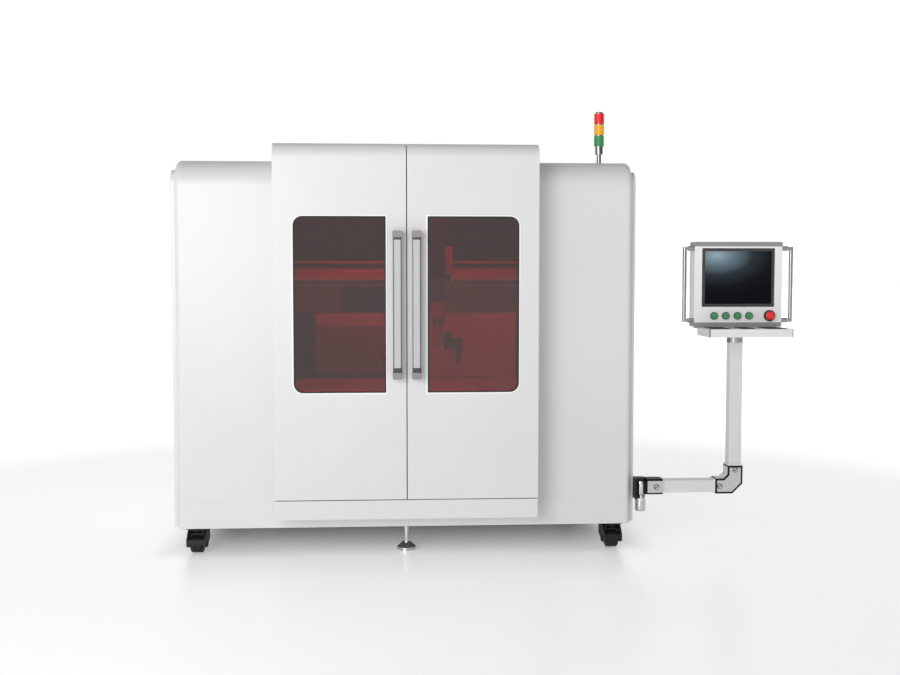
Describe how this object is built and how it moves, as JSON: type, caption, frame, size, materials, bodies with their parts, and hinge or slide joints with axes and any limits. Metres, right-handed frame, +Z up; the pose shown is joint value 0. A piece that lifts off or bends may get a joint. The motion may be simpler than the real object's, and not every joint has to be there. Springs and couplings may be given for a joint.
{
  "type": "enclosed laser cutting machine",
  "caption": "Enclosed laser cutting machine on casters with two tinted-window doors, a five-axis head on a gantry, a swing-arm operator panel and a signal tower.",
  "frame": {"origin": "centre of the front levelling foot's sole, on the floor and on the cabinet's centre plane", "axes": "+X to the right along the front, +Y from the front to the back, +Z up"},
  "size_m": [2.912, 1.773, 2.082],
  "materials": {
    "cabinet_white": "fine satin",
    "door_white": "fine satin",
    "lower_white": "fine satin",
    "frame_steel": "matt",
    "liner_grey": "matt",
    "unit_grey": "satin",
    "girder_grey": "satin",
    "cast_bed": "cast",
    "table_steel": "ground",
    "back_plate_steel": "brushed",
    "duct_black": "matt",
    "pin_steel": "turned",
    "caster_steel": "satin",
    "caster_black": "satin",
    "caster_tread": "matt",
    "tower_metal": "polished",
    "lens_green": "clear tint",
    "lens_amber": "clear tint",
    "lens_red": "clear tint",
    "arm_white": "satin",
    "elbow_white": "satin",
    "coupling_grey": "satin",
    "panel_white": "satin",
    "screen_glass": "gloss",
    "grab_metal": "satin",
    "button_green": "gloss",
    "stop_red": "gloss",
    "beam_aluminium": "satin",
    "carriage_metal": "satin",
    "ram_dark": "matt",
    "head_metal": "satin",
    "nozzle_brass": "turned",
    "foot_chrome": "polished",
    "window_tint": "tinted clear",
    "seal_rubber": "matt",
    "handle_white": "satin"
  },
  "bodies": {
    "cabinet": {"base_frame": "frame_steel", "lower_panels": "lower_white", "left_wing_cover": "cabinet_white", "right_wing_cover": "cabinet_white", "left_side_cover": "cabinet_white", "right_side_cover": "cabinet_white", "bay_hood": "cabinet_white", "rear_panel": "cabinet_white", "chamber_liner": "liner_grey", "laser_source": "unit_grey", "control_cabinet": "unit_grey", "side_girders": "girder_grey", "bed_pedestal": "cast_bed", "work_table": "table_steel", "back_plate": "back_plate_steel", "fume_duct": "duct_black", "door_pivots": "pin_steel", "caster_plates": "caster_steel", "signal_base": "tower_metal", "signal_green": "lens_green", "signal_amber": "lens_amber", "signal_red": "lens_red", "arm_bracket": "arm_white"},
    "left_door_leaf": {"left_door": "door_white", "left_window": "window_tint", "left_window_seal": "seal_rubber", "left_handle": "handle_white"},
    "right_door_leaf": {"right_door": "door_white", "right_window": "window_tint", "right_window_seal": "seal_rubber", "right_handle": "handle_white"},
    "gantry": {"gantry_beam": "beam_aluminium"},
    "carriage": {"x_carriage": "carriage_metal"},
    "ram": {"z_ram": "ram_dark"},
    "rotary_head": {"c_head": "head_metal"},
    "cutting_head": {"tilt_head": "head_metal", "nozzle": "nozzle_brass"},
    "swing_arm": {"arm_socket": "arm_white", "arm_tubes": "arm_white", "arm_elbow": "elbow_white"},
    "operator_panel": {"panel_coupling": "coupling_grey", "keyboard_shelf": "arm_white", "panel_housing": "panel_white", "panel_screen": "screen_glass", "panel_handles": "grab_metal"},
    "stop_button": {"emergency_stop": "stop_red"},
    "front_foot": {"front_levelling_foot": "foot_chrome"},
    "rear_foot": {"rear_levelling_foot": "foot_chrome"},
    "button_1": {"push_button_1": "button_green"},
    "button_2": {"push_button_2": "button_green"},
    "button_3": {"push_button_3": "button_green"},
    "button_4": {"push_button_4": "button_green"},
    "front_left_swivel": {"front_left_caster_fork": "caster_black"},
    "front_left_wheel": {"front_left_caster_wheel": "caster_tread"},
    "front_right_swivel": {"front_right_caster_fork": "caster_black"},
    "front_right_wheel": {"front_right_caster_wheel": "caster_tread"},
    "rear_left_swivel": {"rear_left_caster_fork": "caster_black"},
    "rear_left_wheel": {"rear_left_caster_wheel": "caster_tread"},
    "rear_right_swivel": {"rear_right_caster_fork": "caster_black"},
    "rear_right_wheel": {"rear_right_caster_wheel": "caster_tread"}
  },
  "joints": [
    {"name": "left_door_hinge", "type": "hinge", "parent": "cabinet", "child": "left_door_leaf", "pos_m": [-0.59, -0.15, 1], "axis": [0, 0, -1], "range_deg": [0, 105]},
    {"name": "right_door_hinge", "type": "hinge", "parent": "cabinet", "child": "right_door_leaf", "pos_m": [0.59, -0.15, 1], "axis": [0, 0, 1], "range_deg": [0, 105]},
    {"name": "gantry_y", "type": "slide", "parent": "cabinet", "child": "gantry", "axis": [0, 1, 0], "range_m": [-0.35, 0.06]},
    {"name": "carriage_x", "type": "slide", "parent": "gantry", "child": "carriage", "axis": [1, 0, 0], "range_m": [-0.55, 0.32]},
    {"name": "ram_z", "type": "slide", "parent": "carriage", "child": "ram", "axis": [0, 0, 1], "range_m": [-0.07, 0.15]},
    {"name": "head_turn", "type": "hinge", "parent": "ram", "child": "rotary_head", "pos_m": [0.17, 0.465, 1], "axis": [0, 0, 1], "range_deg": [-180, 180]},
    {"name": "head_tilt", "type": "hinge", "parent": "rotary_head", "child": "cutting_head", "pos_m": [0.255, 0.465, 0.951], "axis": [1, 0, 0], "range_deg": [-120, 120]},
    {"name": "arm_swing", "type": "hinge", "parent": "cabinet", "child": "swing_arm", "pos_m": [1.118, -0.02, 0.25], "axis": [0, 0, 1], "range_deg": [-60, 45]},
    {"name": "panel_turn", "type": "hinge", "parent": "swing_arm", "child": "operator_panel", "pos_m": [1.566, -0.02, 1], "axis": [0, 0, 1], "range_deg": [-60, 60]},
    {"name": "button_1_press", "type": "slide", "parent": "operator_panel", "child": "button_1", "axis": [0, 1, 0], "range_m": [0, 0.004], "stiffness_N_per_m": 600, "springref_m": -0.001},
    {"name": "button_2_press", "type": "slide", "parent": "operator_panel", "child": "button_2", "axis": [0, 1, 0], "range_m": [0, 0.004], "stiffness_N_per_m": 600, "springref_m": -0.001},
    {"name": "button_3_press", "type": "slide", "parent": "operator_panel", "child": "button_3", "axis": [0, 1, 0], "range_m": [0, 0.004], "stiffness_N_per_m": 600, "springref_m": -0.001},
    {"name": "button_4_press", "type": "slide", "parent": "operator_panel", "child": "button_4", "axis": [0, 1, 0], "range_m": [0, 0.004], "stiffness_N_per_m": 600, "springref_m": -0.001},
    {"name": "stop_press", "type": "slide", "parent": "operator_panel", "child": "stop_button", "axis": [0, 1, 0], "range_m": [0, 0.005], "stiffness_N_per_m": 900, "springref_m": -0.001},
    {"name": "front_left_caster_turn", "type": "hinge", "parent": "cabinet", "child": "front_left_swivel", "pos_m": [-0.976, 0.028, 0.1], "axis": [0, 0, 1], "continuous": true},
    {"name": "front_left_wheel_roll", "type": "hinge", "parent": "front_left_swivel", "child": "front_left_wheel", "pos_m": [-0.97844, -0.00692, 0.04], "axis": [0.9976, -0.0698, 0], "continuous": true},
    {"name": "front_right_caster_turn", "type": "hinge", "parent": "cabinet", "child": "front_right_swivel", "pos_m": [0.976, 0.028, 0.1], "axis": [0, 0, 1], "continuous": true},
    {"name": "front_right_wheel_roll", "type": "hinge", "parent": "front_right_swivel", "child": "front_right_wheel", "pos_m": [0.97844, -0.00692, 0.04], "axis": [0.9976, 0.0698, 0], "continuous": true},
    {"name": "rear_left_caster_turn", "type": "hinge", "parent": "cabinet", "child": "rear_left_swivel", "pos_m": [-0.976, 1.352, 0.1], "axis": [0, 0, 1], "continuous": true},
    {"name": "rear_left_wheel_roll", "type": "hinge", "parent": "rear_left_swivel", "child": "rear_left_wheel", "pos_m": [-0.97844, 1.31709, 0.04], "axis": [0.9976, -0.0698, 0], "continuous": true},
    {"name": "rear_right_caster_turn", "type": "hinge", "parent": "cabinet", "child": "rear_right_swivel", "pos_m": [0.976, 1.352, 0.1], "axis": [0, 0, 1], "continuous": true},
    {"name": "rear_right_wheel_roll", "type": "hinge", "parent": "rear_right_swivel", "child": "rear_right_wheel", "pos_m": [0.97844, 1.31709, 0.04], "axis": [0.9976, 0.0698, 0], "continuous": true},
    {"name": "front_foot_screw", "type": "slide", "parent": "cabinet", "child": "front_foot", "axis": [0, 0, 1], "range_m": [-0.02, 0.015]},
    {"name": "rear_foot_screw", "type": "slide", "parent": "cabinet", "child": "rear_foot", "axis": [0, 0, 1], "range_m": [-0.02, 0.015]}
  ]
}
